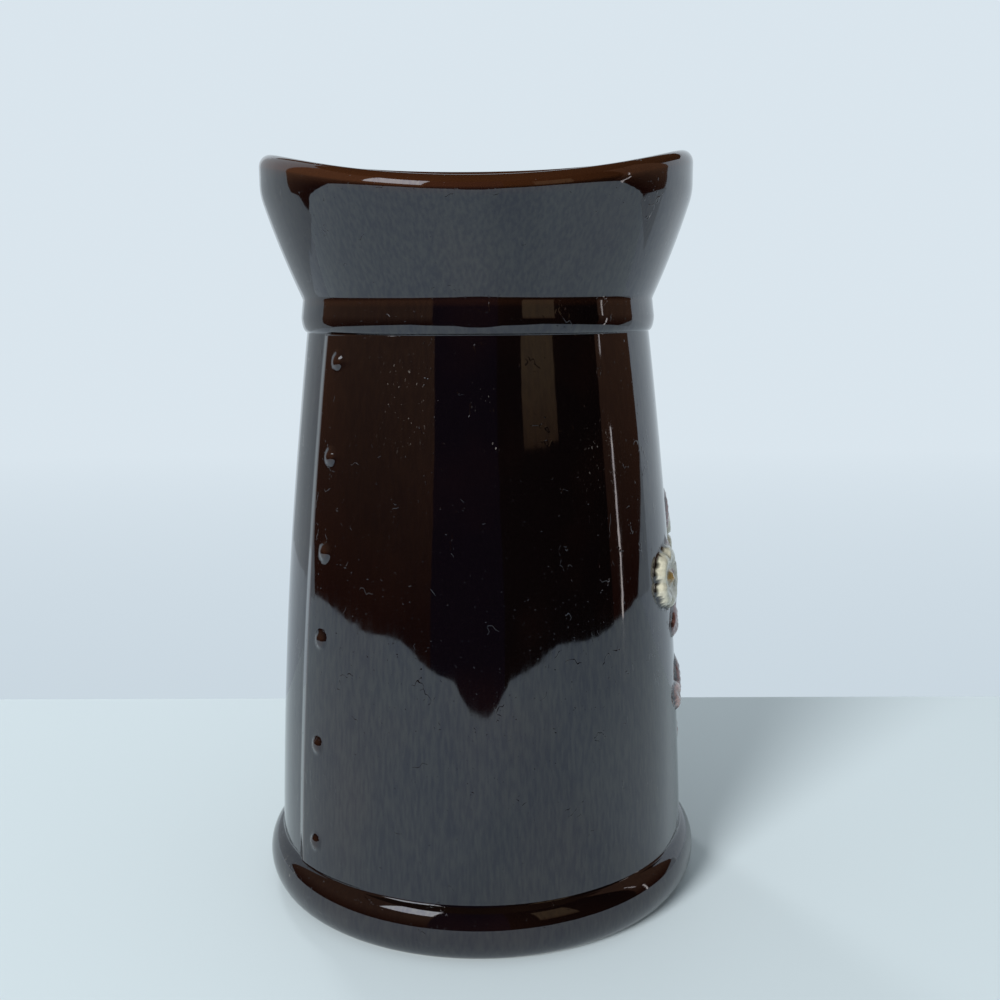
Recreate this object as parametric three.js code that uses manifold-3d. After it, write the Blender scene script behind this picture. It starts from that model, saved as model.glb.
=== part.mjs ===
// A brown-glazed ceramic pitcher, made in one piece. Its tapered body copies a can of rolled sheet:
// a lapped seam with six rivet heads, a collar band, a rounded foot ring and a flared top with a
// pouring lip. A strap handle is drawn out of the back, and a spray of wild roses is moulded on one side.
// Millimetres, +Z up. The origin is on the body's axis, on the flat foot. The pouring lip points to -Y
// and the handle to +Y. Angles run round the axis in degrees, from the pouring lip towards +X.
import * as THREE from "three";
import { mergeVertices } from "three/addons/utils/BufferGeometryUtils.js";
import Module from "manifold-3d";

const wasm = await Module();
wasm.setup();

// The thrown form
const WALL = 6;
const FLOOR = { height: 9, corner: 8 };
const RING = { radius: 60.2, bulge: 6.1, half: 8.05, endAngle: 70 };
const BODY = { middle: 98, radius: 57.5, taper: 0.084, swell: 0.00032 };
const COLLAR = { bottom: 166.1, full: 170.3, top: 175.9, radius: 51.8, topRadius: 51.2 };
const FLARE = { step: 0.2, lean: 0.44, bend: 0.0024, edge: 202, ease: 5 };
const RIM = { mean: 214.2, waves: [-6.3, -2.8, -0.6], lean: 0.5 };
const LIP = { thickness: 6.4, height: 3.6 };
const SPOUT = { reach: 5, spread: 40 };

// What copies the rolled sheet
const SEAM = { angle: -55, step: 1.1, fade: 36, width: 0.7, margin: 1.8 };
const RIVET = { angle: -47.3, radius: 1.8, height: 1.1, at: [24.5, 53, 83, 107.5, 133.5, 159] };

// The strap handle: its middle line runs out below the collar, straight down, and slanting back
const HANDLE = {
  thickness: 9,
  widths: [19, 18, 17, 16.4, 16, 15.6, 15.4, 15.2, 15, 15, 15.4, 16.4, 18],
  roundness: 0.55,
  flare: 0.15,
  flareLength: 7,
  sunk: 0.6,
  line: [
    [160.5, 48.5],
    [160.6, 62],
    [160.4, 78],
    [158.6, 89],
    [152, 96.2],
    [140, 97.2],
    [120, 97.4],
    [106, 97.2],
    [98, 94.5],
    [91, 87],
    [81, 74],
    [72.5, 63],
    [67, 54],
  ],
};

// The moulded spray, laid out flat: across in millimetres from its middle angle, and up
const SPRAY = { angle: 106, sunk: 1.4, leafHeight: 1.9, stemHeight: 1.6, roseHeight: 3.1 };
const STEMS = [
  { from: [30, 30], bends: [[10, 50], [-6, 74], [-6, 104], [6, 126]], to: [22, 146], radius: 1.7 },
  { from: [-6, 74], bends: [[-16, 80]], to: [-34, 92], radius: 1.3 },
  { from: [4, 58], bends: [[20, 68]], to: [33, 84], radius: 1.3 },
  { from: [14, 46], bends: [[-4, 46]], to: [-24, 54], radius: 1.2 },
];
const LEAVES = { length: 22, width: 11.5, swing: 52, places: [0.05, 0.34, 0.62, 0.76, 0.9] };
const SIDE_LEAVES = { length: 17, width: 9, swing: 48, places: [0.45, 0.9] };
const ROSES = [
  { across: -2, up: 103, radius: 15 },
  { across: -38, up: 95.5, radius: 9.5 },
  { across: 36, up: 90, radius: 11.5 },
];
const BUDS = [
  { across: 23, up: 148, length: 13, width: 8.5, heading: 62 },
  { across: -25, up: 54.5, length: 12, width: 8, heading: 150 },
];

const degrees = THREE.MathUtils.degToRad;
const { lerp, clamp, smoothstep } = THREE.MathUtils;

function bodyRadius(z) {
  const above = z - BODY.middle;
  return BODY.radius - BODY.taper * above - BODY.swell * above * above;
}

// The flare leans out less and less up to its edge, and then turns upright within a few millimetres
function flareRadius(z) {
  const height = FLARE.edge - COLLAR.top;
  const rise = clamp(z - COLLAR.top, 0, height);
  const past = clamp(z - FLARE.edge, 0, FLARE.ease);
  const lastLean = FLARE.lean - 2 * FLARE.bend * height;
  const flared = FLARE.step + FLARE.lean * rise - FLARE.bend * rise * rise;
  return COLLAR.topRadius + flared + lastLean * past * (1 - past / (2 * FLARE.ease));
}

// The rim dips at the pouring lip and climbs to the handle, in waves of one, two and three to a turn.
// It was made a little higher on the +X side.
function rimHeight(angle) {
  const turn = degrees(angle);
  const wave = RIM.waves.reduce((sum, size, i) => sum + size * Math.cos((i + 1) * turn), 0);
  return RIM.mean + wave + RIM.lean * Math.sin(turn);
}

function spoutPull(angle, share) {
  return SPOUT.reach * Math.exp(-((angle / SPOUT.spread) ** 2)) * share * share;
}

// The upper sheet of the lap stands proud on the pouring side and sinks back into the body
function seamLift(angle) {
  const past = angle - SEAM.angle;
  if (past < 0) return 0;
  return SEAM.step * Math.min(1, past / SEAM.width) * (1 - smoothstep(past, 0, SEAM.fade));
}

// A point from its angle, its distance from the axis and its height
function around(angle, radius, z) {
  const turn = degrees(angle - 90);
  return new THREE.Vector3(radius * Math.cos(turn), radius * Math.sin(turn), z);
}

// Joins closed rings of equal length into a solid, from one end to the other
function skin(rings) {
  const sides = rings[0].length;
  const positions = rings.flat().flatMap((p) => p.toArray());
  const ends = [rings[0], rings.at(-1)].map((ring) =>
    ring.reduce((sum, p) => sum.add(p), new THREE.Vector3()).divideScalar(sides),
  );
  const index = [];
  for (let row = 0; row + 1 < rings.length; row++) {
    for (let i = 0; i < sides; i++) {
      const next = (i + 1) % sides;
      const [a, b] = [row * sides + i, row * sides + next];
      index.push(a, b, b + sides, a, b + sides, a + sides);
    }
  }
  const [start, finish] = [rings.length * sides, rings.length * sides + 1];
  for (let i = 0; i < sides; i++) {
    const next = (i + 1) % sides;
    index.push(start, next, i);
    index.push(finish, (rings.length - 1) * sides + i, (rings.length - 1) * sides + next);
  }
  positions.push(...ends.flatMap((p) => p.toArray()));
  const geometry = new THREE.BufferGeometry();
  geometry.setAttribute("position", new THREE.Float32BufferAttribute(positions, 3));
  geometry.setIndex(index);
  return geometry;
}

// Rings may be listed either way round, so a skin that comes out inside out is turned over
function solidOf(geometry) {
  const merged = mergeVertices(geometry, 1e-4);
  const vertProperties = merged.attributes.position.array;
  const triVerts = new Uint32Array(merged.index.array);
  const made = new wasm.Manifold(new wasm.Mesh({ numProp: 3, vertProperties, triVerts }));
  if (made.volume() > 0) return made;
  triVerts.reverse();
  return new wasm.Manifold(new wasm.Mesh({ numProp: 3, vertProperties, triVerts }));
}

// The outline of the wall at one angle, from the foot up the outside, over the lip and down inside
function section(angle) {
  const points = [[RING.radius, 0]];
  const ringSteps = 8;
  for (let i = 1; i <= ringSteps; i++) {
    const turn = degrees(lerp(-90, RING.endAngle, i / ringSteps));
    points.push([RING.radius + RING.bulge * Math.cos(turn), RING.half * (1 + Math.sin(turn))]);
  }
  const lift = seamLift(angle);
  const [bodyFrom, bodyTo] = [points.at(-1)[1] + SEAM.margin, COLLAR.bottom - SEAM.margin];
  const bodySteps = 6;
  for (let i = 0; i <= bodySteps; i++) {
    const z = lerp(bodyFrom, bodyTo, i / bodySteps);
    points.push([bodyRadius(z) + lift, z]);
  }
  const underside = bodyRadius(COLLAR.bottom);
  for (const turn of [0, 30, 60, 90].map(degrees)) {
    points.push([
      lerp(underside, COLLAR.radius, Math.sin(turn)),
      lerp(COLLAR.full, COLLAR.bottom, Math.cos(turn)),
    ]);
  }
  points.push([COLLAR.topRadius, COLLAR.top]);

  const rim = rimHeight(angle);
  const lipFrom = rim - LIP.height;
  const outside = (z) => flareRadius(z) + spoutPull(angle, (z - COLLAR.top) / (rim - COLLAR.top));
  const flareShares = [0.1, 0.28, 0.5, 0.75, 1];
  for (const share of flareShares) {
    const z = lerp(COLLAR.top, lipFrom, share);
    points.push([outside(z), z]);
  }
  const lipMiddle = outside(lipFrom) - LIP.thickness / 2;
  for (const turn of [28, 55, 80, 105, 140].map(degrees)) {
    points.push([lipMiddle + (LIP.thickness / 2) * Math.cos(turn), lipFrom + LIP.height * Math.sin(turn)]);
  }
  for (const share of [1, 0.66, 0.33, 0]) {
    const z = lerp(COLLAR.top, lipFrom, share);
    points.push([outside(z) - WALL - share * (LIP.thickness - WALL), z]);
  }
  const cornerTop = FLOOR.height + FLOOR.corner;
  for (const share of [0, 0.3, 0.65, 1]) {
    const z = lerp(COLLAR.bottom, cornerTop, share);
    points.push([bodyRadius(z) - WALL, z]);
  }
  const cornerMiddle = bodyRadius(cornerTop) - WALL - FLOOR.corner;
  for (const turn of [30, 60, 90].map(degrees)) {
    points.push([cornerMiddle + FLOOR.corner * Math.cos(turn), cornerTop - FLOOR.corner * Math.sin(turn)]);
  }
  return points;
}

function shell() {
  const columns = 52;
  const angles = Array.from({ length: columns }, (_, i) => -180 + (i * 360) / columns);
  angles.push(SEAM.angle, SEAM.angle + SEAM.width);
  angles.sort((a, b) => a - b);
  const sections = angles.map(section);
  const rings = sections[0].map((_, row) => angles.map((angle, i) => around(angle, ...sections[i][row])));
  return solidOf(skin(rings));
}

// One strap, wider than thick, with rounded edges. Its ends spread a little and stop inside the wall.
function handle() {
  const line = new THREE.CatmullRomCurve3(HANDLE.line.map(([z, out]) => new THREE.Vector3(0, out, z)));
  const length = line.getLength();
  const steps = 28;
  const sides = 12;
  const rings = [];
  for (let step = 0; step <= steps; step++) {
    const share = step / steps;
    const middle = line.getPointAt(share);
    const ahead = line.getTangentAt(share);
    const outward = new THREE.Vector3(0, -ahead.z, ahead.y);
    const place = share * (HANDLE.widths.length - 1);
    const index = Math.min(Math.floor(place), HANDLE.widths.length - 2);
    const width = lerp(HANDLE.widths[index], HANDLE.widths[index + 1], place - index);
    const fromEnd = Math.min(share, 1 - share) * length;
    const spread = 1 + HANDLE.flare * (1 - smoothstep(fromEnd, WALL, WALL + HANDLE.flareLength));
    rings.push(
      Array.from({ length: sides }, (_, i) => {
        const turn = (i * 2 * Math.PI) / sides;
        const across = Math.sign(Math.cos(turn)) * Math.abs(Math.cos(turn)) ** HANDLE.roundness;
        const through = Math.sign(Math.sin(turn)) * Math.abs(Math.sin(turn)) ** HANDLE.roundness;
        const corner = new THREE.Vector3((across * width * spread) / 2, 0, 0)
          .addScaledVector(outward, (through * HANDLE.thickness * spread) / 2)
          .add(middle);
        const inside = bodyRadius(corner.z) - WALL * HANDLE.sunk;
        corner.y = Math.max(corner.y, inside);
        return corner;
      }),
    );
  }
  return solidOf(skin(rings));
}

// A place on the body's outside, from the flat layout of the spray
function onSpray(across, up, height) {
  return around(SPRAY.angle + (across / BODY.radius) * (180 / Math.PI), bodyRadius(up) + height, up);
}

function rivet(z) {
  const sides = 8;
  const levels = [
    [1, -1],
    [1, 0.35],
    [0.72, 0.8],
    [0.3, 1],
  ];
  const rings = levels.map(([share, height]) =>
    Array.from({ length: sides }, (_, i) => {
      const turn = (i * 2 * Math.PI) / sides;
      const across = (RIVET.radius * share * Math.cos(turn) * 180) / Math.PI / bodyRadius(z);
      const out = bodyRadius(z) + seamLift(RIVET.angle) + height * RIVET.height;
      return around(RIVET.angle + across, out, z + RIVET.radius * share * Math.sin(turn));
    }),
  );
  return solidOf(skin(rings));
}

// A leaf of the spray: two raised halves on either side of a sunk midrib
function leaf(across, up, heading, length, width) {
  const stations = 6;
  const profile = [
    [-1, 0.1],
    [-0.55, 1],
    [0, 0.6],
    [0.55, 1],
    [1, 0.1],
  ];
  const turn = degrees(heading);
  const rings = [];
  for (let i = 0; i <= stations; i++) {
    const share = i / stations;
    const full = Math.max(0.06, Math.sin(Math.PI * share ** 0.8));
    const half = (width / 2) * full;
    const rise = SPRAY.leafHeight * Math.sqrt(full);
    const top = profile.map(([side, height]) => [side * half, height * rise]);
    const loop = [...top, [half, -SPRAY.sunk], [-half, -SPRAY.sunk]];
    rings.push(
      loop.map(([side, height]) => {
        const along = share * length;
        return onSpray(
          across + along * Math.cos(turn) - side * Math.sin(turn),
          up + along * Math.sin(turn) + side * Math.cos(turn),
          height,
        );
      }),
    );
  }
  return solidOf(skin(rings));
}

// An open wild rose: five notched petals round a domed centre
function rose({ across, up, radius }) {
  const petals = 5;
  const sides = 4 * petals;
  const lobe = (turn) => 0.8 + 0.2 * Math.sqrt(Math.abs(Math.cos((petals * turn) / 2)));
  const levels = [
    { share: 1, height: -SPRAY.sunk },
    { share: 1, height: 0.45 * SPRAY.roseHeight },
    { share: 0.78, height: 0.8 * SPRAY.roseHeight },
    { share: 0.34, height: 0.42 * SPRAY.roseHeight },
    { share: 0.26, height: 0.85 * SPRAY.roseHeight },
    { share: 0.1, height: SPRAY.roseHeight },
  ];
  const rings = levels.map(({ share, height }) =>
    Array.from({ length: sides }, (_, i) => {
      const turn = (i * 2 * Math.PI) / sides;
      const out = radius * share * (share > 0.5 ? lobe(turn) : 1);
      return onSpray(across + out * Math.cos(turn), up + out * Math.sin(turn), height);
    }),
  );
  return solidOf(skin(rings));
}

function stemLine({ from, bends, to }) {
  return new THREE.CatmullRomCurve3([from, ...bends, to].map(([x, y]) => new THREE.Vector3(x, y, 0)));
}

function stem(shape) {
  const line = stemLine(shape);
  const steps = Math.round(line.getLength() / 6);
  const profile = [
    [-1, -SPRAY.sunk],
    [-0.8, SPRAY.stemHeight * 0.55],
    [0, SPRAY.stemHeight],
    [0.8, SPRAY.stemHeight * 0.55],
    [1, -SPRAY.sunk],
  ];
  const rings = [];
  for (let i = 0; i <= steps; i++) {
    const place = line.getPointAt(i / steps);
    const ahead = line.getTangentAt(i / steps);
    rings.push(
      profile.map(([side, height]) =>
        onSpray(
          place.x - ahead.y * side * shape.radius,
          place.y + ahead.x * side * shape.radius,
          height,
        ),
      ),
    );
  }
  return solidOf(skin(rings));
}

// Leaves stand to the left and right of a stem in turn
function leavesOn(shape, kind) {
  const line = stemLine(shape);
  return kind.places.map((share, i) => {
    const place = line.getPointAt(share);
    const ahead = line.getTangentAt(share);
    const side = i % 2 === 0 ? 1 : -1;
    const heading = (Math.atan2(ahead.y, ahead.x) * 180) / Math.PI + side * kind.swing;
    return leaf(place.x, place.y, heading, kind.length, kind.width);
  });
}

function spray() {
  const [main, ...sides] = STEMS;
  return [
    ...STEMS.map(stem),
    ...leavesOn(main, LEAVES),
    ...sides.flatMap((side) => leavesOn(side, SIDE_LEAVES)),
    ...BUDS.map(({ across, up, heading, length, width }) => leaf(across, up, heading, length, width)),
    ...ROSES.map(rose),
  ];
}

function pitcher() {
  const rivets = RIVET.at.map(rivet);
  const whole = [handle(), ...rivets, ...spray()].reduce((sum, piece) => sum.add(piece), shell());
  const made = whole.getMesh();
  const geometry = new THREE.BufferGeometry();
  geometry.setAttribute("position", new THREE.Float32BufferAttribute(made.vertProperties, 3));
  geometry.setIndex([...made.triVerts]);
  geometry.computeVertexNormals();
  const glaze = new THREE.MeshStandardMaterial({ color: 0x24130d, roughness: 0.12, metalness: 0 });
  const mesh = new THREE.Mesh(geometry, glaze);
  mesh.name = "pitcher";
  return mesh;
}

const group = new THREE.Group();
group.add(pitcher());

export default group;
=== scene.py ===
import math
import bpy
import mathutils
import numpy as np
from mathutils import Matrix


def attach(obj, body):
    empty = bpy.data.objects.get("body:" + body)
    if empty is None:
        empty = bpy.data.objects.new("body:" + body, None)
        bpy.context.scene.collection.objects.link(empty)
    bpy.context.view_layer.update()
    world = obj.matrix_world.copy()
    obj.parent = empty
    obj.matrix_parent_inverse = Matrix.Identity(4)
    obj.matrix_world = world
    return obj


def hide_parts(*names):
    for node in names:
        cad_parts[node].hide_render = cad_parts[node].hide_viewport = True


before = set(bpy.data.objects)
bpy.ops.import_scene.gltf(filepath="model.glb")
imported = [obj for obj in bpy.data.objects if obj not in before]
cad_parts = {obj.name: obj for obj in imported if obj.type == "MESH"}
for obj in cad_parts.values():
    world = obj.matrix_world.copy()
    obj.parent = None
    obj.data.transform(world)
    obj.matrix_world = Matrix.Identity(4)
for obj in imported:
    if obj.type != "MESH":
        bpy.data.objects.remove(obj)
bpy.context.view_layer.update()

# The camera
# It stands before the pouring lip, level with the collar, as the photograph was taken.
CAMERA_BACK = 0.3462
CAMERA_UP = 0.1737
CAMERA_DOWNWARD = math.radians(9.646)
CAMERA_TO_RIGHT = math.radians(1.027)
CAMERA_ROLL = math.radians(-0.308)

camera_data = bpy.data.cameras.new("camera")
camera_data.lens = 41.4
camera_data.sensor_width = 36
camera_data.clip_start = 0.01
camera = bpy.data.objects.new("camera", camera_data)
bpy.context.collection.objects.link(camera)
aim = mathutils.Euler((math.pi / 2 - CAMERA_DOWNWARD, 0, -CAMERA_TO_RIGHT)).to_matrix()
aim = aim @ mathutils.Matrix.Rotation(CAMERA_ROLL, 3, "Z")
camera.matrix_world = mathutils.Matrix.LocRotScale((0, -CAMERA_BACK, CAMERA_UP), aim, None)
bpy.context.scene.camera = camera

# The pitcher's outline
# One piece of moulded pottery, drawn here as a section that is turned about the axis. Sizes are in
# millimetres until the mesh is made. Angles run in degrees from the pouring lip (-Y) towards +X.
WALL = 6
FLOOR_TOP, FLOOR_CORNER = 9, 8
RING_RADIUS, RING_BULGE, RING_HALF, RING_END = 60.2, 6.1, 8.05, 70
BODY_MIDDLE, BODY_RADIUS, BODY_TAPER, BODY_SWELL = 98, 57.5, 0.084, 0.00032
COLLAR_BOTTOM, COLLAR_FULL, COLLAR_TOP = 166.1, 170.3, 175.9
COLLAR_RADIUS, COLLAR_TOP_RADIUS = 51.8, 51.2
FLARE_STEP, FLARE_LEAN, FLARE_BEND, FLARE_EDGE, FLARE_EASE = 0.2, 0.44, 0.0024, 202, 5
RIM_MEAN, RIM_WAVES, RIM_LEAN = 214.2, (-6.3, -2.8, -0.6), 0.5
LIP_THICKNESS, LIP_HEIGHT = 6.4, 3.6
SPOUT_REACH, SPOUT_SPREAD = 5, 40


def smooth(low, high, value):
    share = np.clip((np.asarray(value, float) - low) / (high - low), 0, 1)
    return share * share * (3 - 2 * share)


def bump(middle, half, value):
    return np.clip(1 - ((np.asarray(value, float) - middle) / half) ** 2, 0, 1) ** 2


def body_radius(z):
    above = np.asarray(z, float) - BODY_MIDDLE
    return BODY_RADIUS - BODY_TAPER * above - BODY_SWELL * above**2


# The flare leans out less and less up to its edge, and then turns upright
def flare_radius(z):
    height = FLARE_EDGE - COLLAR_TOP
    rise = np.clip(z - COLLAR_TOP, 0, height)
    past = np.clip(z - FLARE_EDGE, 0, FLARE_EASE)
    last_lean = FLARE_LEAN - 2 * FLARE_BEND * height
    flared = FLARE_STEP + FLARE_LEAN * rise - FLARE_BEND * rise**2
    return COLLAR_TOP_RADIUS + flared + last_lean * past * (1 - past / (2 * FLARE_EASE))


def rim_height(angle):
    turn = np.radians(angle)
    wave = sum(size * np.cos((i + 1) * turn) for i, size in enumerate(RIM_WAVES))
    return RIM_MEAN + wave + RIM_LEAN * np.sin(turn)


# Hand finishing and the kiln leave the wall a little out of round
def wander(angle, z):
    turn = np.radians(angle)
    slow = np.sin(2 * turn + z / 47) + 0.7 * np.sin(3 * turn - z / 31 + 1.3)
    quick = 0.35 * np.sin(7 * turn + z / 19 + 0.6) + 0.25 * np.sin(11 * turn - z / 13)
    return 0.09 * (slow + quick)


# The columns are close together where the surface has fine detail
def spaced(start, end, step):
    return list(np.arange(start, end - step / 2, step))


COLUMNS = np.array(
    spaced(-180, -164, 0.8)
    + spaced(-164, -60, 2.4)
    + spaced(-60, -44, 0.5)
    + spaced(-44, 54, 2.45)
    + spaced(54, 156.4, 0.8)
    + spaced(156.4, 164, 1.9)
    + spaced(164, 180, 0.8)
)
FINE_ROW = 0.8

# The lapped seam
# The body copies a rolled sheet: its edge lies proud as a slanting step, and six rivet heads hold it.
SEAM_STEP, SEAM_FADE, SEAM_WIDTH = 1.05, 36, 1.9
SEAM_LEAN, SEAM_HIGH, SEAM_LOW = -54.2, 164, 17
SEAM_DRIFT = 2.6
RIVET_INSET = 8
RIVET_RADIUS, RIVET_HEIGHT = 2.3, 1.0
RIVETS = (24.5, 53, 83, 107.5, 133.5, 159)


def seam_angle(z):
    return SEAM_LEAN - SEAM_DRIFT * (SEAM_HIGH - z) / (SEAM_HIGH - SEAM_LOW)


def seam_lift(angle, z):
    past = angle - seam_angle(z)
    rise = np.clip((past + SEAM_WIDTH) / (2 * SEAM_WIDTH), 0, 1)
    return SEAM_STEP * rise * (1 - smooth(0, SEAM_FADE, past))


def rivet_lift(angle, z):
    total = np.zeros_like(angle + z)
    for height in RIVETS:
        across = np.radians(angle - seam_angle(height) - RIVET_INSET) * body_radius(z)
        reach = np.hypot(across, z - height) / RIVET_RADIUS
        total = np.maximum(total, RIVET_HEIGHT * np.clip(1 - reach**2.2, 0, 1) ** 0.8)
    return total


# The moulded spray
# Wild roses in low relief on the +X side, pressed in the mould and painted before glazing. It is laid
# out flat: across in millimetres from its middle angle, and up.
SPRAY_ANGLE = 106
LEAF_HEIGHT, STEM_HEIGHT, ROSE_HEIGHT = 1.9, 1.6, 3.1
STEMS = [
    ([(30, 30), (10, 50), (-6, 74), (-6, 104), (6, 126), (22, 146)], 1.7),
    ([(-6, 74), (-16, 80), (-34, 92)], 1.3),
    ([(4, 58), (20, 68), (33, 84)], 1.3),
    ([(14, 46), (-4, 46), (-24, 54)], 1.2),
]
MAIN_LEAVES = {"length": 22, "width": 11.5, "swing": 52, "places": (0.05, 0.34, 0.62, 0.76, 0.9)}
SIDE_LEAVES = {"length": 17, "width": 9, "swing": 48, "places": (0.45, 0.9)}
ROSES = [(-2, 103, 15), (-38, 95.5, 9.5), (36, 90, 11.5)]
BUDS = [(23, 148, 62, 13, 8.5), (-25, 54.5, 150, 12, 8)]
CREAM = (0.50, 0.47, 0.36)
HEART = (0.36, 0.22, 0.07)
LEAF_ROSE = (0.17, 0.075, 0.066)
LEAF_TEETH, LEAF_TOOTH_DEPTH = 58, 0.05
LEAF_EDGE_ROUNDNESS = 2.4
VEIN_DEPTH, VEIN_CROWDING, VEIN_SLANT = 0.12, 2.1, 0.9
MIDRIB_WIDTH = 1.5
PETALS, PETAL_NOTCH, PETAL_RAYS = 5, 0.035, 35
HEART_SHARE = 0.27
STEM_BROWN = (0.10, 0.055, 0.035)
BUD_PINK = (0.36, 0.20, 0.17)


# A smooth line through points, with knots spaced by the root of the distance
def smooth_line(points, count):
    points = np.asarray(points, float)
    points = np.vstack([2 * points[0] - points[1], points, 2 * points[-1] - points[-2]])
    gaps = np.sqrt(np.linalg.norm(np.diff(points, axis=0), axis=1))
    pieces = []
    for i in range(len(points) - 3):
        before, start, end, after = points[i : i + 4]
        d0, d1, d2 = gaps[i : i + 3]
        lead = (start - before) / d0 - (end - before) / (d0 + d1) + (end - start) / d1
        trail = (end - start) / d1 - (after - start) / (d1 + d2) + (after - end) / d2
        lead, trail = lead * d1, trail * d1
        share = np.linspace(0, 1, 40, endpoint=False)[:, None]
        square, cube = share**2, share**3
        pieces.append(
            (2 * cube - 3 * square + 1) * start
            + (cube - 2 * square + share) * lead
            + (3 * square - 2 * cube) * end
            + (cube - square) * trail
        )
    dense = np.vstack(pieces + [points[-2:-1]])
    walked = np.concatenate([[0], np.cumsum(np.linalg.norm(np.diff(dense, axis=0), axis=1))])
    at = np.linspace(0, walked[-1], count)
    return np.stack([np.interp(at, walked, dense[:, k]) for k in range(dense.shape[1])], axis=1)


# Keeps the higher of the relief so far and a new shape, with the new shape's colour where it wins
def lay(relief, height, colour):
    wins = height > relief["height"]
    relief["height"][wins] = height[wins]
    relief["colour"][wins] = np.broadcast_to(colour, relief["colour"].shape)[wins]


def lay_leaf(relief, across, up, heading, length, width, colour):
    turn = math.radians(heading)
    dx, dy = relief["across"] - across, relief["up"] - up
    along = (dx * math.cos(turn) + dy * math.sin(turn)) / length
    side = -dx * math.sin(turn) + dy * math.cos(turn)
    inside = np.clip(along, 0, 1)
    teeth = 1 + LEAF_TOOTH_DEPTH * np.sin(inside * LEAF_TEETH)
    half = width / 2 * np.sin(np.pi * inside**0.8) * teeth + 1e-6
    edge = np.clip(1 - (np.abs(side) / half) ** LEAF_EDGE_ROUNDNESS, 0, 1)
    midrib = 0.55 + 0.45 * smooth(0, MIDRIB_WIDTH, np.abs(side))
    vein_run = (inside * length - VEIN_SLANT * np.abs(side)) * VEIN_CROWDING
    veins = 1 - VEIN_DEPTH * (0.5 + 0.5 * np.cos(vein_run))
    height = LEAF_HEIGHT * np.sqrt(edge) * midrib * veins * np.sqrt(np.sin(np.pi * inside**0.8) + 1e-6)
    height[(along <= 0) | (along >= 1)] = 0
    # The leaf's colour carries painted shade along its midrib groove and grows lighter towards its edges
    shade = 0.8 + 0.45 * smooth(0.2, 2.2, np.abs(side))
    lay(relief, height, np.asarray(colour) * shade[..., None])


def lay_rose(relief, across, up, radius):
    dx, dy = relief["across"] - across, relief["up"] - up
    out = np.hypot(dx, dy) / radius
    turn = np.arctan2(dy, dx)
    fold = np.abs(np.cos(PETALS * turn / 2))
    notch = PETAL_NOTCH * np.exp(-((np.sin(PETALS * turn / 2) / 0.22) ** 2)) * (fold > 0.5)
    edge = 0.8 + 0.2 * np.sqrt(fold) - notch
    share = out / edge
    cup = 0.42 + 0.5 * smooth(0.25, 0.8, share)
    groove = 1 - 0.45 * np.exp(-((fold / 0.1) ** 2)) * smooth(0.25, 0.6, share)
    petal = ROSE_HEIGHT * cup * groove * np.sqrt(np.clip(1 - share**7, 0, 1))
    rays = 1 - 0.02 * (0.5 + 0.5 * np.cos(turn * PETAL_RAYS)) * smooth(0.3, 0.5, share)
    # The cream is darker towards the heart, and the grooves between the petals darken it further as painted
    # shade
    tint = 0.72 + 0.36 * smooth(0.3, 0.95, share)
    petal_colour = np.asarray(CREAM) * (tint * groove)[..., None]
    lay(relief, petal * rays, petal_colour)
    grains = 0.9 + 0.1 * np.cos(turn * 11) * np.cos(out * 60)
    heart = ROSE_HEIGHT * np.sqrt(np.clip(1 - (out / HEART_SHARE) ** 2, 0, 1)) * grains
    lay(relief, heart, HEART)


def lay_stem(relief, points, radius):
    line = smooth_line(points, 60)
    nearest = np.full(relief["height"].shape, np.inf)
    for start, end in zip(line[:-1], line[1:]):
        run = end - start
        dx, dy = relief["across"] - start[0], relief["up"] - start[1]
        share = np.clip((dx * run[0] + dy * run[1]) / (run @ run), 0, 1)
        nearest = np.minimum(nearest, np.hypot(dx - share * run[0], dy - share * run[1]))
    lay(relief, STEM_HEIGHT * np.sqrt(np.clip(1 - (nearest / radius) ** 2, 0, 1)), STEM_BROWN)


def lay_leaves(relief, points, kind):
    line = smooth_line(points, 201)
    for i, share in enumerate(kind["places"]):
        at = int(share * 200)
        ahead = line[min(at + 1, 200)] - line[at - 1]
        side = 1 if i % 2 == 0 else -1
        heading = math.degrees(math.atan2(ahead[1], ahead[0])) + side * kind["swing"]
        lay_leaf(relief, *line[at], heading, kind["length"], kind["width"], LEAF_ROSE)


def spray(angle, z):
    across = np.radians(angle - SPRAY_ANGLE) * BODY_RADIUS
    across, up = np.broadcast_arrays(across, z)
    relief = {
        "across": across,
        "up": up,
        "height": np.zeros(across.shape),
        "colour": np.zeros(across.shape + (3,)),
    }
    for points, radius in STEMS:
        lay_stem(relief, points, radius)
    lay_leaves(relief, STEMS[0][0], MAIN_LEAVES)
    for points, _ in STEMS[1:]:
        lay_leaves(relief, points, SIDE_LEAVES)
    for across, up, heading, length, width in BUDS:
        lay_leaf(relief, across, up, heading, length, width, BUD_PINK)
    for across, up, radius in ROSES:
        lay_rose(relief, across, up, radius)
    return relief


# The strap handle
# It stands at the back, pulled out of the same clay, wider than thick, and blends into the wall.
STRAP_THICKNESS = 9
STRAP_WIDTHS = (19, 18, 17, 16.4, 16, 15.6, 15.4, 15.2, 15, 15, 15.4, 16.4, 18)
STRAP_ROUNDNESS = 0.55
STRAP_LINE = [
    (160.5, 48.5),
    (160.6, 62),
    (160.4, 78),
    (158.6, 89),
    (152, 96.2),
    (140, 97.2),
    (120, 97.4),
    (106, 97.2),
    (98, 94.5),
    (91, 87),
    (81, 74),
    (72.5, 63),
    (67, 54),
]
STRAP_RINGS, STRAP_SIDES = 100, 36
STRAP_SUNK = 0.6
FILLET_LOW, FILLET_HIGH, FILLET_SLOPE = 5.0, 3.2, 0.5
FILLET_MIDDLE = 115
FILLET_TOP, FILLET_END = 163.2, 165.6


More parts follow.
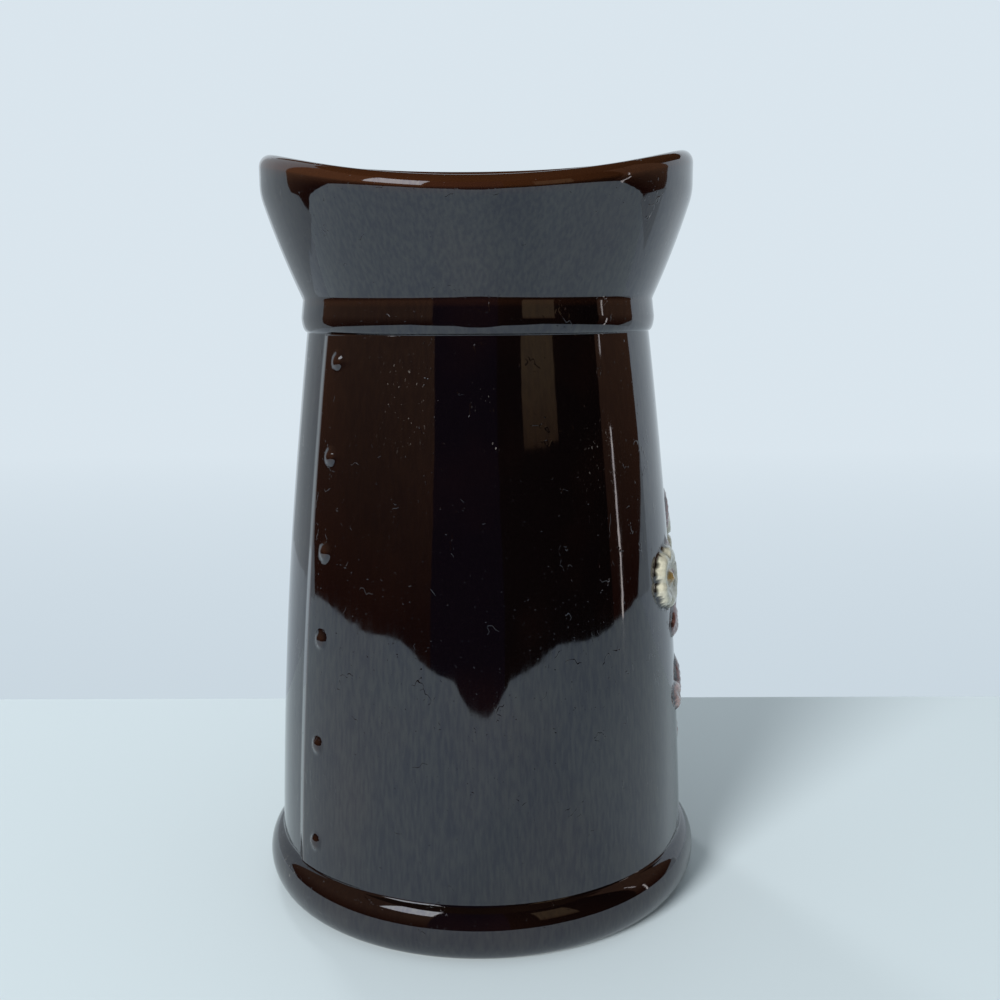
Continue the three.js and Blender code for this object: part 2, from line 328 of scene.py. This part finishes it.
def strap_frames():
    line = smooth_line([(out, z) for z, out in STRAP_LINE], STRAP_RINGS)
    ahead = np.gradient(line, axis=0)
    ahead /= np.linalg.norm(ahead, axis=1)[:, None]
    outward = np.stack([-ahead[:, 1], ahead[:, 0]], axis=1)
    share = np.linspace(0, 1, STRAP_RINGS)
    widths = np.interp(share, np.linspace(0, 1, len(STRAP_WIDTHS)), STRAP_WIDTHS)
    widths = np.convolve(np.pad(widths, 3, mode="edge"), np.ones(7) / 7, mode="valid")
    return line, outward, widths


def strap_mesh():
    line, outward, widths = strap_frames()
    turn = np.linspace(0, 2 * np.pi, STRAP_SIDES, endpoint=False)
    across = np.sign(np.cos(turn)) * np.abs(np.cos(turn)) ** STRAP_ROUNDNESS
    through = np.sign(np.sin(turn)) * np.abs(np.sin(turn)) ** STRAP_ROUNDNESS
    rings = np.zeros((STRAP_RINGS, STRAP_SIDES, 3))
    rings[..., 0] = across * widths[:, None] / 2
    rings[..., 1:] = line[:, None] + outward[:, None] * (through * STRAP_THICKNESS / 2)[None, :, None]
    inside = body_radius(rings[..., 2]) - WALL * STRAP_SUNK
    rings[..., 1] = np.maximum(rings[..., 1], inside)
    rings[..., 1:] += 0.06 * np.sin(rings[..., 2:] / 9) * np.cos(rings[..., :1])
    return rings


# How far each point of the wall stands from the strap that comes out of it, as across a rounded bar
def strap_distance(points):
    line, outward, widths = strap_frames()
    best = np.full(points.shape[:-1], np.inf)
    for i in range(STRAP_RINGS):
        offset = points[..., 1:] - line[i]
        ahead = np.array([outward[i][1], -outward[i][0]])
        along = offset @ ahead
        a = np.abs(points[..., 0]) - (widths[i] / 2 - 3)
        b = np.abs(offset @ outward[i]) - (STRAP_THICKNESS / 2 - 3)
        bar = np.hypot(np.maximum(a, 0), np.maximum(b, 0)) + np.minimum(np.maximum(a, b), 0) - 3
        best = np.minimum(best, np.hypot(np.maximum(bar, 0), along) + np.minimum(bar, 0))
    return best


def fillet_lift(points):
    low = points[..., 2] < FILLET_MIDDLE
    radius = np.where(low, FILLET_LOW, FILLET_HIGH)
    near = np.clip(radius - np.maximum(strap_distance(points), 0), 0, None)
    lift = FILLET_SLOPE * near**2 / radius
    return lift * (1 - smooth(FILLET_TOP, FILLET_END, points[..., 2]))


# The rows of the section, each with its radius and height at every column and how thin the glaze runs
rows = []


def add_row(radius, z, thin=0.0, bare=0.0, outer=False):
    ones = np.ones(len(COLUMNS))
    rows.append({"radius": radius * ones, "z": z * ones, "thin": thin * ones, "bare": bare, "outer": outer})


def add_underside():
    for radius in (22, 44, 53, 53.6, 58.4):
        add_row(radius, 0, bare=float(radius > 53.5))
    add_row(RING_RADIUS, 0, bare=1.0)


def add_ring():
    for turn in np.radians(np.linspace(-90, RING_END, 27)[1:]):
        radius = RING_RADIUS + RING_BULGE * np.cos(turn)
        z = RING_HALF * (1 + np.sin(turn))
        add_row(radius + 0.5 * wander(COLUMNS, z), z, thin=0.08 * bump(9, 7, z), bare=float(z < 0.25))


def add_body():
    crease = RING_HALF * (1 + math.sin(math.radians(RING_END)))
    heights = [crease + 0.35, crease + 0.9, crease + 1.8, crease + 3]
    heights += list(np.arange(20, 162.5, FINE_ROW)) + [163.3, 164, 164.6, 165.1, 165.5, 165.8]
    for z in heights:
        add_row(body_radius(z) + wander(COLUMNS, z), z, outer=True)


def add_collar():
    under = body_radius(COLLAR_BOTTOM)
    for turn in np.radians(np.linspace(0, 90, 11)):
        z = COLLAR_FULL + (COLLAR_BOTTOM - COLLAR_FULL) * np.cos(turn)
        radius = under + (COLLAR_RADIUS - under) * np.sin(turn)
        add_row(radius + wander(COLUMNS, z), z)
    for share in np.linspace(0, 1, 8)[1:]:
        z = COLLAR_FULL + share * (COLLAR_TOP - 0.6 - COLLAR_FULL)
        radius = COLLAR_RADIUS + share * (COLLAR_TOP_RADIUS - COLLAR_RADIUS)
        add_row(radius + wander(COLUMNS, z), z, thin=0.2 * bump(174.6, 1.6, z))


def outer_flare(z, rim):
    share = np.clip((z - COLLAR_TOP) / (rim - COLLAR_TOP), 0, None)
    pull = SPOUT_REACH * np.exp(-((COLUMNS / SPOUT_SPREAD) ** 2)) * share**2
    return flare_radius(z) + pull + wander(COLUMNS, z)


def add_flare_and_lip():
    rim = rim_height(COLUMNS)
    lip_from = rim - LIP_HEIGHT
    for share in np.linspace(0, 1, 30):
        z = COLLAR_TOP + 0.15 + share * (lip_from - COLLAR_TOP - 0.15)
        add_row(outer_flare(z, rim), z, thin=0.35 * smooth(0.94, 1, share))
    middle = outer_flare(lip_from, rim) - LIP_THICKNESS / 2
    for turn in np.radians(np.linspace(0, 180, 21)[1:-1]):
        radius = middle + LIP_THICKNESS / 2 * math.cos(turn)
        add_row(radius, lip_from + LIP_HEIGHT * math.sin(turn), thin=1.0)
    for share in np.linspace(1, 0, 12):
        z = COLLAR_TOP + share * (lip_from - COLLAR_TOP)
        wall = WALL + share * (LIP_THICKNESS - WALL)
        add_row(outer_flare(z, rim) - wall, z, thin=smooth(0.93, 1, share))


def add_inside():
    corner_top = FLOOR_TOP + FLOOR_CORNER
    for z in np.linspace(COLLAR_TOP - 4, corner_top, 14):
        add_row(body_radius(min(z, COLLAR_BOTTOM)) - WALL, z)
    middle = body_radius(corner_top) - WALL - FLOOR_CORNER
    for turn in np.radians(np.linspace(0, 90, 8)[1:]):
        add_row(middle + FLOOR_CORNER * math.cos(turn), corner_top - FLOOR_CORNER * math.sin(turn))
    for radius in (34, 18):
        add_row(radius, FLOOR_TOP)


add_underside()
add_ring()
add_body()
add_collar()
add_flare_and_lip()
add_inside()

radius = np.array([row["radius"] for row in rows])
height = np.array([row["z"] for row in rows])
thin = np.array([row["thin"] for row in rows])
bare = np.array([np.full(len(COLUMNS), row["bare"]) for row in rows])
outer = np.array([row["outer"] for row in rows])
angle = np.broadcast_to(COLUMNS, radius.shape)
paint = np.zeros(radius.shape + (4,))


def spots(angle, radius, z):
    turn = np.radians(angle - 90)
    return np.stack([radius * np.cos(turn), radius * np.sin(turn), z], axis=-1)


# The relief, the rivets, the lap and the fillets all raise the plain body
relief = spray(angle[outer], height[outer])
paint[outer, :, :3] = relief["colour"]
paint[outer, :, 3] = smooth(0.12, 0.5, relief["height"])
rivets = rivet_lift(angle[outer], height[outer])
lap = seam_lift(angle[outer], height[outer])
fillets = fillet_lift(spots(angle[outer], radius[outer], height[outer]))
radius[outer] += relief["height"] + rivets + lap + fillets
past_seam = angle[outer] - seam_angle(height[outer])
lap_edge = bump(SEAM_WIDTH, 0.8, past_seam)
rivet_edge = bump(0.8, 0.5, rivets / RIVET_HEIGHT)
thin[outer] = np.maximum.reduce([thin[outer], 0.4 * lap_edge, 0.25 * rivet_edge])

# Places with fine specks: angle, height, half the width in degrees and half the height in millimetres
SCUFFS = [
    (-22, 149, 9, 15),
    (1, 150, 3, 4),
    (4, 138, 3, 4),
    (38, 134, 10, 13),
    (-45, 5, 6, 4),
    (-60, 12, 8, 5),
]
scuff = np.zeros(radius.shape)
for middle, z, half_angle, half_height in SCUFFS:
    scuff = np.maximum(scuff, bump(middle, half_angle, angle) * bump(z, half_height, height))

points = spots(angle, radius, height).reshape(-1, 3)
row_count, column_count = radius.shape


# Joins closed rings of vertices, listed row by row, into faces, with a fan at each end
def ring_faces(rows_in, columns_in):
    at = np.arange(rows_in * columns_in).reshape(rows_in, columns_in)
    ahead = np.roll(at, -1, axis=1)
    quads = np.stack([at[:-1], ahead[:-1], ahead[1:], at[1:]], axis=-1).reshape(-1, 4)
    first, last = rows_in * columns_in, rows_in * columns_in + 1
    fans = [(first, b, a) for a, b in zip(at[0], ahead[0])]
    fans += [(last, a, b) for a, b in zip(at[-1], ahead[-1])]
    return quads.tolist() + fans


def mesh_object(name, vertices, faces):
    mesh = bpy.data.meshes.new(name)
    mesh.from_pydata((np.asarray(vertices) / 1000).tolist(), [], faces)
    mesh.validate()
    made = bpy.data.objects.new(name, mesh)
    bpy.context.collection.objects.link(made)
    return made


def give(mesh, name, kind, values):
    data = mesh.attributes.new(name, kind, "POINT")
    field = "color" if kind == "FLOAT_COLOR" else "value"
    data.data.foreach_set(field, np.asarray(values, np.float32).ravel())


centres = [(0, 0, 0), (0, 0, FLOOR_TOP)]
pitcher = mesh_object("pitcher_body", np.vstack([points, centres]), ring_faces(row_count, column_count))
give(pitcher.data, "paint", "FLOAT_COLOR", np.vstack([paint.reshape(-1, 4), np.zeros((2, 4))]))
give(pitcher.data, "thin", "FLOAT", np.append(thin.ravel(), [0, 0]))
give(pitcher.data, "bare", "FLOAT", np.append(bare.ravel(), [0, 0]))
give(pitcher.data, "scuff", "FLOAT", np.append(scuff.ravel(), [0, 0]))

strap_rings = strap_mesh()
strap_points = strap_rings.reshape(-1, 3)
strap_ends = [strap_rings[0].mean(axis=0), strap_rings[-1].mean(axis=0)]
strap = mesh_object("strap", np.vstack([strap_points, strap_ends]), ring_faces(STRAP_RINGS, STRAP_SIDES))


# Turns a closed mesh right side out
def turn_out(target):
    corners = np.empty(len(target.data.vertices) * 3)
    target.data.vertices.foreach_get("co", corners)
    corners = corners.reshape(-1, 3)
    target.data.calc_loop_triangles()
    triangles = np.empty(len(target.data.loop_triangles) * 3, dtype=int)
    target.data.loop_triangles.foreach_get("vertices", triangles)
    a, b, c = corners[triangles.reshape(-1, 3)].transpose(1, 0, 2)
    if np.einsum("ij,ij->i", a, np.cross(b, c)).sum() < 0:
        target.data.flip_normals()


turn_out(pitcher)
turn_out(strap)
union = pitcher.modifiers.new("union", "BOOLEAN")
union.operation = "UNION"
union.solver = "MANIFOLD"
union.object = strap
joined = bpy.data.meshes.new_from_object(pitcher.evaluated_get(bpy.context.evaluated_depsgraph_get()))
pitcher.modifiers.clear()
pitcher.data = joined
bpy.data.objects.remove(strap)
for polygon in pitcher.data.polygons:
    polygon.use_smooth = True


# The wet clay was smoothed by hand where the handle joins the wall
JOINT_REACH, JOINT_DEPTH, JOINT_PASSES = 1.6, 4.5, 8
JOINT_SIDE, JOINT_TOP = 0.035, 0.1655


def smooth_joints(mesh):
    at = np.empty(len(mesh.vertices) * 3)
    mesh.vertices.foreach_get("co", at)
    at = at.reshape(-1, 3)
    ends = np.empty(len(mesh.edges) * 2, dtype=int)
    mesh.edges.foreach_get("vertices", ends)
    first, second = ends.reshape(-1, 2).T
    near = np.zeros(len(at), dtype=bool)
    behind = at[:, 1] > JOINT_SIDE
    spot = at[behind] * 1000
    out = np.hypot(spot[:, 0], spot[:, 1]) - body_radius(spot[:, 2])
    near[behind] = (np.abs(strap_distance(spot)) < JOINT_REACH) & (out > -1) & (out < JOINT_DEPTH)
    near &= at[:, 2] < JOINT_TOP
    for _ in range(JOINT_PASSES):
        total = np.zeros_like(at)
        count = np.zeros(len(at))
        for a, b in ((first, second), (second, first)):
            np.add.at(total, a, at[b])
            np.add.at(count, a, 1)
        at[near] = 0.5 * at[near] + 0.5 * (total / count[:, None])[near]
    mesh.vertices.foreach_set("co", at.ravel())
    mesh.update()


smooth_joints(pitcher.data)

# The glaze
# A thick, very glossy brown glaze, nearly black where it is deep and amber where it runs thin over
# edges. The foot it stands on is left bare, and the spray's colours lie under the same gloss.
GLAZE_DEEP = (0.0014, 0.0008, 0.0008, 1)
GLAZE_THIN = (0.026, 0.0085, 0.0030, 1)
BARE_CLAY = (0.40, 0.29, 0.19, 1)
DUST = (0.20, 0.18, 0.16, 1)
GLAZE_IOR = 1.80
SHEEN_DARK = (0.66, 0.69, 0.83, 1)
SHEEN_LIGHT = (0.93, 0.95, 1.0, 1)
GLAZE_ROUGHNESS, STREAK_ROUGHNESS, BARE_ROUGHNESS = 0.035, 0.03, 0.7
THIN_CLOUDS = 0.12

# Sizes of the glaze's patterns along X, Y and Z, and depths of its relief, in metres
CLOUD_SIZE = (0.03, 0.03, 0.04)
GRAIN_SIZE = (0.0016, 0.0016, 0.0016)
HAIR_SIZE = (0.0009, 0.0009, 0.0050)
FAINT_SIZE = (0.016, 0.016, 0.022)
SPECK_SIZE = (0.0006, 0.0006, 0.0012)
STREAK_SIZE = (0.0016, 0.0016, 0.022)
MARK_SIZE, MARK_PATCH_SIZE, MARK_DEPTH = (0.0046, 0.0046, 0.0062), (0.006, 0.006, 0.006), 0.00003
PEEL_SIZE, PEEL_DEPTH = (0.011, 0.011, 0.014), 0.00004
RUN_SIZE, RUN_DEPTH = (0.0012, 0.0012, 0.006), 0.000003
PIT_SIZE, PIT_DEPTH = (0.0009, 0.0009, 0.0012), 0.00004

glaze = bpy.data.materials.new("brown_glaze")
glaze.use_nodes = True
tree = glaze.node_tree
tree.nodes.clear()


def node(kind, settings=None, inputs=None):
    made = tree.nodes.new(kind)
    for key, value in (settings or {}).items():
        setattr(made, key, value)
    for key, value in (inputs or {}).items():
        if isinstance(value, bpy.types.NodeSocket):
            tree.links.new(value, made.inputs[key])
        else:
            made.inputs[key].default_value = value
    return made


def attribute(name, output="Fac"):
    return node("ShaderNodeAttribute", {"attribute_name": name}).outputs[output]


def mixed(factor, first, second):
    made = node("ShaderNodeMix", {"data_type": "RGBA"}, {0: factor})
    for socket, value in ((made.inputs[6], first), (made.inputs[7], second)):
        if isinstance(value, bpy.types.NodeSocket):
            tree.links.new(value, socket)
        else:
            socket.default_value = value
    return made.outputs[2]


def ramp(value, low, high, to_low=0.0, to_high=1.0):
    inputs = {0: value, 1: low, 2: high, 3: to_low, 4: to_high}
    return node("ShaderNodeMapRange", None, inputs).outputs[0]


def maths(operation, first, second):
    return node("ShaderNodeMath", {"operation": operation}, {0: first, 1: second}).outputs[0]


place = node("ShaderNodeTexCoord").outputs["Object"]


# Noise stretched by separate sizes along X, Y and Z, in metres
def noise(sizes, detail=2.0):
    scale = node("ShaderNodeMapping", None, {0: place, 3: tuple(1 / size for size in sizes)})
    inputs = {"Vector": scale.outputs[0], "Scale": 1.0, "Detail": detail}
    return node("ShaderNodeTexNoise", None, inputs).outputs[0]


cloud = noise(CLOUD_SIZE)
thinness = maths("ADD", attribute("thin"), ramp(cloud, 0.45, 0.8, 0.0, THIN_CLOUDS))
brown = mixed(thinness, GLAZE_DEEP, GLAZE_THIN)
grain = ramp(noise(GRAIN_SIZE), 0.35, 0.65, 0.78, 1.1)
tinted = mixed(1.0, attribute("paint", "Color"), grain)
tinted.node.blend_type = "MULTIPLY"
painted = mixed(attribute("paint", "Alpha"), brown, tinted)

# The gloss itself is mottled, in hair-fine streaks that ran down in the kiln and in faint clouds
hairs = ramp(noise(HAIR_SIZE, 4.0), 0.36, 0.64, 0.0, 0.75)
clouds = ramp(noise(FAINT_SIZE, 3.0), 0.35, 0.65, 0.0, 0.25)
sheen = mixed(maths("ADD", hairs, clouds), SHEEN_DARK, SHEEN_LIGHT)
specks = maths("MULTIPLY", attribute("scuff"), ramp(noise(SPECK_SIZE), 0.68, 0.72, 0.0, 0.8))
dusted = mixed(specks, painted, DUST)
coloured = mixed(attribute("bare"), dusted, BARE_CLAY)
bare_rough = maths("MULTIPLY", attribute("bare"), BARE_ROUGHNESS)
streaks = ramp(noise(STREAK_SIZE), 0.4, 0.75, 0.0, STREAK_ROUGHNESS)
roughness = maths("ADD", maths("ADD", bare_rough, streaks), GLAZE_ROUGHNESS)

# Thin curved marks, drawn where a slow noise passes its middle value and kept only here and there
contour = maths("ABSOLUTE", maths("SUBTRACT", noise(MARK_SIZE), 0.5), 0)
here_and_there = ramp(noise(MARK_PATCH_SIZE, 0.0), 0.68, 0.72)
marks = maths("MULTIPLY", ramp(contour, 0.0, 0.012, 1.0, 0.0), here_and_there)

# Orange peel, then hair-fine streaks that ran down in the kiln, then pin pits and the curved marks
relief_steps = (
    (noise(PEEL_SIZE), PEEL_DEPTH),
    (noise(RUN_SIZE), RUN_DEPTH),
    (ramp(noise(PIT_SIZE), 0.71, 0.80), PIT_DEPTH),
    (marks, MARK_DEPTH),
)
normal = None
for texture, depth in relief_steps:
    inputs = {"Height": texture, "Distance": depth, "Strength": 1.0}
    if normal is not None:
        inputs["Normal"] = normal
    normal = node("ShaderNodeBump", None, inputs).outputs[0]

surface_inputs = {
    "Base Color": coloured,
    "Roughness": roughness,
    "IOR": GLAZE_IOR,
    "Specular Tint": sheen,
    "Normal": normal,
}
surface = node("ShaderNodeBsdfPrincipled", None, surface_inputs)
output = node("ShaderNodeOutputMaterial")
tree.links.new(surface.outputs[0], output.inputs["Surface"])

pitcher.data.materials.clear()
pitcher.data.materials.append(glaze)
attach(pitcher, "root")
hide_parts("pitcher")


# The studio
# A pale table in a pale round room, soft light from the front left, and dark screens round the front and
# the sides for the glaze to mirror. The camera sees only the table, the backdrop and the room's wall.
FLOOR_COLOUR = (0.67, 0.75, 0.77)
TABLE_FRONT, TABLE_BACK, TABLE_SKEW = -0.463, 0.147, 0.045
WALL_RADIUS, WALL_LOW, WALL_HIGH = 1.8, -0.3, 1.6
WALL_PALE = (0.70, 0.785, 0.85)
# The low backdrop's colour near the table, darker as painted shade
WALL_NEAR_SHADED = (0.59, 0.68, 0.75)
SCREEN_RADIUS, SCREEN_LOW, SCREEN_HIGH = 0.62, -0.2, 0.9
SCREEN_END, NAVY_START, NAVY_END, BLACK_END = 112, -26, 12, 78
MIDDLE_RADIUS, SLIT_RADIUS, CARD_RADIUS = SCREEN_RADIUS - 0.01, SCREEN_RADIUS - 0.02, SCREEN_RADIUS - 0.03
CEILING_HALF = 1.2
BEYOND_FRONT, BEYOND_DROP = -0.34, 0.0005
SOFT_WHITE = (0.97, 0.98, 1.0)


def plain(name, colour, lit=False, upper=None, fade=None, axis="Z"):
    material = bpy.data.materials.new(name)
    material.use_nodes = True
    nodes, links = material.node_tree.nodes, material.node_tree.links
    shader = nodes["Principled BSDF"]
    shader.inputs["Roughness"].default_value = 0.6
    shader.inputs["Base Color"].default_value = (0, 0, 0, 1) if lit else (*colour, 1)
    if lit:
        shader.inputs["Specular IOR Level"].default_value = 0
        shader.inputs["Emission Color"].default_value = (*colour, 1)
        shader.inputs["Emission Strength"].default_value = 1
    if upper:
        place = nodes.new("ShaderNodeTexCoord")
        split = nodes.new("ShaderNodeSeparateXYZ")
        share = nodes.new("ShaderNodeMapRange")
        mix = nodes.new("ShaderNodeMix")
        mix.data_type = "RGBA"
        share.inputs[1].default_value, share.inputs[2].default_value = fade
        mix.inputs[6].default_value, mix.inputs[7].default_value = (*colour, 1), (*upper, 1)
        links.new(place.outputs["Object"], split.inputs[0])
        links.new(split.outputs[axis], share.inputs[0])
        links.new(share.outputs[0], mix.inputs[0])
        links.new(mix.outputs[2], shader.inputs["Emission Color"])
    return material


def sheet(name, corners, material):
    made = mesh_object(name, np.asarray(corners) * 1000, [tuple(range(len(corners)))])
    made.data.materials.append(material)
    return made


def flat(name, x, y, z, material):
    corners = [(x[0], y[0], z), (x[1], y[0], z), (x[1], y[1], z), (x[0], y[1], z)]
    return sheet(name, corners, material)


# One upright strip round the object, between two angles from the camera's direction. Where it has an
# end_high, its top runs straight from high to that.
def strip(name, start, end, low, high, reach, material, end_high=None):
    turns = np.radians(np.linspace(start, end, max(2, int(abs(end - start) / 4))) - 90)
    ring = np.stack([np.cos(turns), np.sin(turns)], axis=1) * reach * 1000
    lower = [(x, y, low * 1000) for x, y in ring]
    count = len(ring)
    tops = np.linspace(high, high if end_high is None else end_high, count) * 1000
    upper = [(x, y, z) for (x, y), z in zip(ring, tops)]
    faces = [(i, i + 1, count + i + 1, count + i) for i in range(count - 1)]
    made = mesh_object(name, lower + upper, faces)
    made.data.materials.append(material)
    made.visible_diffuse = False
    made.visible_shadow = False
    made.visible_transmission = False
    return made


def mirrored(made):
    made.visible_camera = False
    made.visible_diffuse = False
    made.visible_shadow = False
    made.visible_transmission = False


# The table's front edge, out of the camera's view, has a notch in the middle
floor_paint = plain("table_white", FLOOR_COLOUR)
wall_paint = plain("wall_white", WALL_PALE, True)
reach = (-WALL_RADIUS, WALL_RADIUS)
front_edge = [(-0.11, TABLE_FRONT), (-0.04, -0.375), (0.02, -0.36), (0.05, -0.38), (0.12, TABLE_FRONT)]
outline = [(-WALL_RADIUS, TABLE_FRONT), *front_edge, (WALL_RADIUS, TABLE_FRONT)]
back_edge = [(WALL_RADIUS, TABLE_BACK - TABLE_SKEW), (-WALL_RADIUS, TABLE_BACK + TABLE_SKEW)]
sheet("table", [(x, y, 0) for x, y in outline + back_edge], floor_paint)
far_edge = [(-WALL_RADIUS, WALL_RADIUS), (WALL_RADIUS, WALL_RADIUS)]
# The low backdrop glows, with painted shade darkening it towards the table's back edge and paler further
# back
shaded_backdrop_paint = plain("backdrop_painted_shade", WALL_NEAR_SHADED, True, WALL_PALE, (0.15, 1.0), "Y")
sheet("backdrop_low", [(x, y, 0) for x, y in back_edge + far_edge], shaded_backdrop_paint)
beyond = flat("table_beyond", reach, (-WALL_RADIUS, BEYOND_FRONT), -BEYOND_DROP, floor_paint)
beyond.visible_glossy = False
strip("room_wall", 0, 360, WALL_LOW, WALL_HIGH, WALL_RADIUS, wall_paint)

# The screens, from the outermost in: warm and brighter towards the top, and nearly black in the middle.
# Two pale wedges cut the screen's lower corners short, and a pale card stands beyond its left end.
warm = plain("screen_warm", (0.055, 0.016, 0.010), True, (0.20, 0.105, 0.065), (0.02, 0.27))
navy = plain("screen_navy", (0.016, 0.011, 0.028), True)
black = plain("screen_black", (0.010, 0.005, 0.005), True)
ochre = plain("screen_ochre", (0.16, 0.085, 0.045), True, (0.30, 0.20, 0.11), (0.18, 0.26))
slit = plain("slit_white", (3.2, 2.9, 2.7), True)
window = plain("window_white", (3.6, 3.6, 3.5), True)
pale = plain("card_pale", (0.46, 0.52, 0.56), True)
ceiling = plain("ceiling_dark", (0.045, 0.024, 0.014), True)
mirrored(strip("screen", -SCREEN_END, SCREEN_END, SCREEN_LOW, SCREEN_HIGH, SCREEN_RADIUS, warm))
mirrored(strip("screen_middle", NAVY_START, NAVY_END, SCREEN_LOW, SCREEN_HIGH, MIDDLE_RADIUS, navy))
mirrored(strip("screen_right", NAVY_END, BLACK_END, SCREEN_LOW, SCREEN_HIGH, MIDDLE_RADIUS, black))
mirrored(strip("screen_ochre", 27, 47, 0.185, 0.6, SLIT_RADIUS, ochre))
mirrored(strip("slit", 84.8, 86.0, 0.0, 0.165, SLIT_RADIUS, slit))
mirrored(strip("slit_high", 81.4, 82.4, 0.235, 0.40, SLIT_RADIUS, slit))
mirrored(strip("window_left", -58, -27, 0.42, 0.86, CARD_RADIUS, window))
mirrored(strip("card_left", -113, -102, 0.0, 0.11, CARD_RADIUS, pale, 0.0))
mirrored(strip("card_right", 99, 113, 0.0, 0.0, CARD_RADIUS, pale, 0.13))
mirrored(strip("card_side", -150, -SCREEN_END, SCREEN_LOW, SCREEN_HIGH, SCREEN_RADIUS, pale))
mirrored(flat("ceiling", (-CEILING_HALF, CEILING_HALF), (-CEILING_HALF, CEILING_HALF), SCREEN_HIGH, ceiling))


def area_light(name, place, aim_at, size, energy, colour):
    data = bpy.data.lights.new(name, "AREA")
    data.shape = "DISK"
    data.size = size
    data.energy = energy
    data.color = colour
    lamp = bpy.data.objects.new(name, data)
    bpy.context.collection.objects.link(lamp)
    lamp.location = place
    direction = mathutils.Vector(aim_at) - mathutils.Vector(place)
    lamp.rotation_euler = direction.to_track_quat("-Z", "Y").to_euler()
    return lamp


key = area_light("key", (-2.25, -3.4, 1.75), (0, 0, 0.1), 1.6, 270, SOFT_WHITE)
key.visible_glossy = False
back = area_light("back_window", (-0.45, 0.95, 0.80), (0, 0, 0.2), 0.22, 2.5, SOFT_WHITE)
back.visible_glossy = False

ROOM_LIGHT = (0.39, 0.43, 0.46, 1)
world = bpy.data.worlds.new("room")
world.use_nodes = True
world.node_tree.nodes["Background"].inputs["Color"].default_value = ROOM_LIGHT
world.node_tree.nodes["Background"].inputs["Strength"].default_value = 1.0
bpy.context.scene.world = world
bpy.context.scene.view_settings.view_transform = "Standard"
